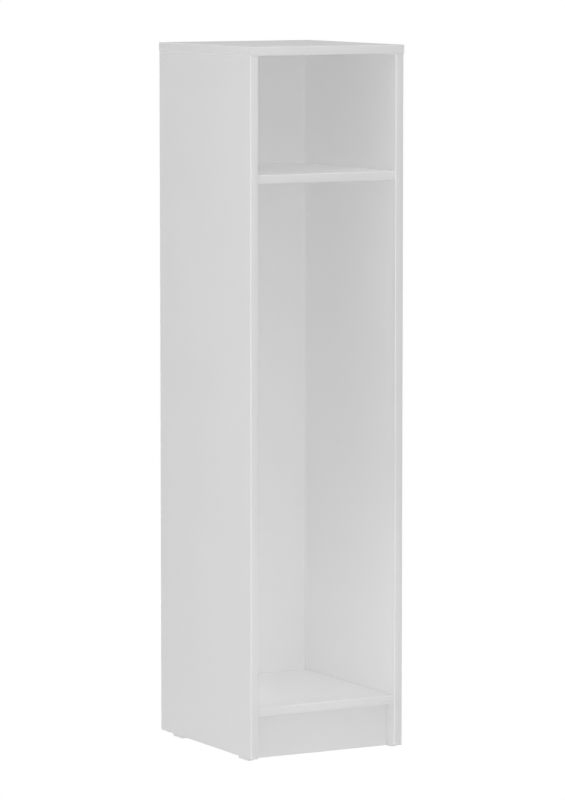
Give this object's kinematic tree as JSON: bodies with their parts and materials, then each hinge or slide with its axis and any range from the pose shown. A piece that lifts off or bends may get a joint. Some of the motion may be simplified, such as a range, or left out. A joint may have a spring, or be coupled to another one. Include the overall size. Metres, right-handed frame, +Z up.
{
  "type": "locker cabinet",
  "caption": "Tall open-fronted locker cabinet in light grey faced chipboard, with a hat compartment over a full-height coat compartment, a set-back plinth and low plastic glides.",
  "frame": {"origin": "on the floor, under the middle of the cabinet's outer box", "axes": "+Z up; +Y from the open front to the back, so the cabinet faces -Y; +X across the front, to the right of a person who looks into it"},
  "size_m": [0.3516, 0.3928, 1.43],
  "materials": {
    "faced_board": "melamine-faced chipboard, light grey, matt with a fine pearl texture; bare chipboard on sawn edges that have no band",
    "back_board": "thin faced board, light grey on both faces, matt with a fine pearl texture",
    "edge_plastic": "ABS edge band in the boards' grey, satin, rounded edges",
    "glide_plastic": "moulded light grey polyethylene, satin",
    "beech": "bare turned beech, fluted",
    "zinc_steel": "bright zinc-plated steel"
  },
  "bodies": {
    "root": {"back_panel": "back_board", "back_screw_bottom_shelf_left": "zinc_steel", "back_screw_bottom_shelf_right": "zinc_steel", "back_screw_hat_shelf_left": "zinc_steel", "back_screw_hat_shelf_right": "zinc_steel", "bottom_shelf": "faced_board", "bottom_shelf_front_band": "edge_plastic", "dowel_bottom_shelf_left_1": "beech", "dowel_bottom_shelf_left_2": "beech", "dowel_bottom_shelf_left_3": "beech", "dowel_bottom_shelf_right_1": "beech", "dowel_bottom_shelf_right_2": "beech", "dowel_bottom_shelf_right_3": "beech", "dowel_hat_shelf_left_1": "beech", "dowel_hat_shelf_left_2": "beech", "dowel_hat_shelf_right_1": "beech", "dowel_hat_shelf_right_2": "beech", "dowel_plinth_left_1": "beech", "dowel_plinth_left_2": "beech", "dowel_plinth_right_1": "beech", "dowel_plinth_right_2": "beech", "dowel_plinth_top_left": "beech", "dowel_plinth_top_right": "beech", "dowel_top_left_1": "beech", "dowel_top_left_2": "beech", "dowel_top_left_3": "beech", "dowel_top_right_1": "beech", "dowel_top_right_2": "beech", "dowel_top_right_3": "beech", "glide_front_left": "glide_plastic", "glide_front_right": "glide_plastic", "glide_rear_left": "glide_plastic", "glide_rear_right": "glide_plastic", "hat_shelf": "faced_board", "hat_shelf_front_band": "edge_plastic", "nail_front_left_1": "zinc_steel", "nail_front_left_2": "zinc_steel", "nail_front_right_1": "zinc_steel", "nail_front_right_2": "zinc_steel", "nail_rear_left_1": "zinc_steel", "nail_rear_left_2": "zinc_steel", "nail_rear_right_1": "zinc_steel", "nail_rear_right_2": "zinc_steel", "plinth_bottom_band": "edge_plastic", "plinth_panel": "faced_board", "side_left_bottom_band": "edge_plastic", "side_left_front_band": "edge_plastic", "side_left_rear_band": "edge_plastic", "side_left_top_band": "edge_plastic", "side_panel_left": "faced_board", "side_panel_right": "faced_board", "side_right_bottom_band": "edge_plastic", "side_right_front_band": "edge_plastic", "side_right_rear_band": "edge_plastic", "side_right_top_band": "edge_plastic", "top_front_band": "edge_plastic", "top_left_band": "edge_plastic", "top_panel": "faced_board", "top_rear_band": "edge_plastic", "top_right_band": "edge_plastic"}
  },
  "joints": []
}
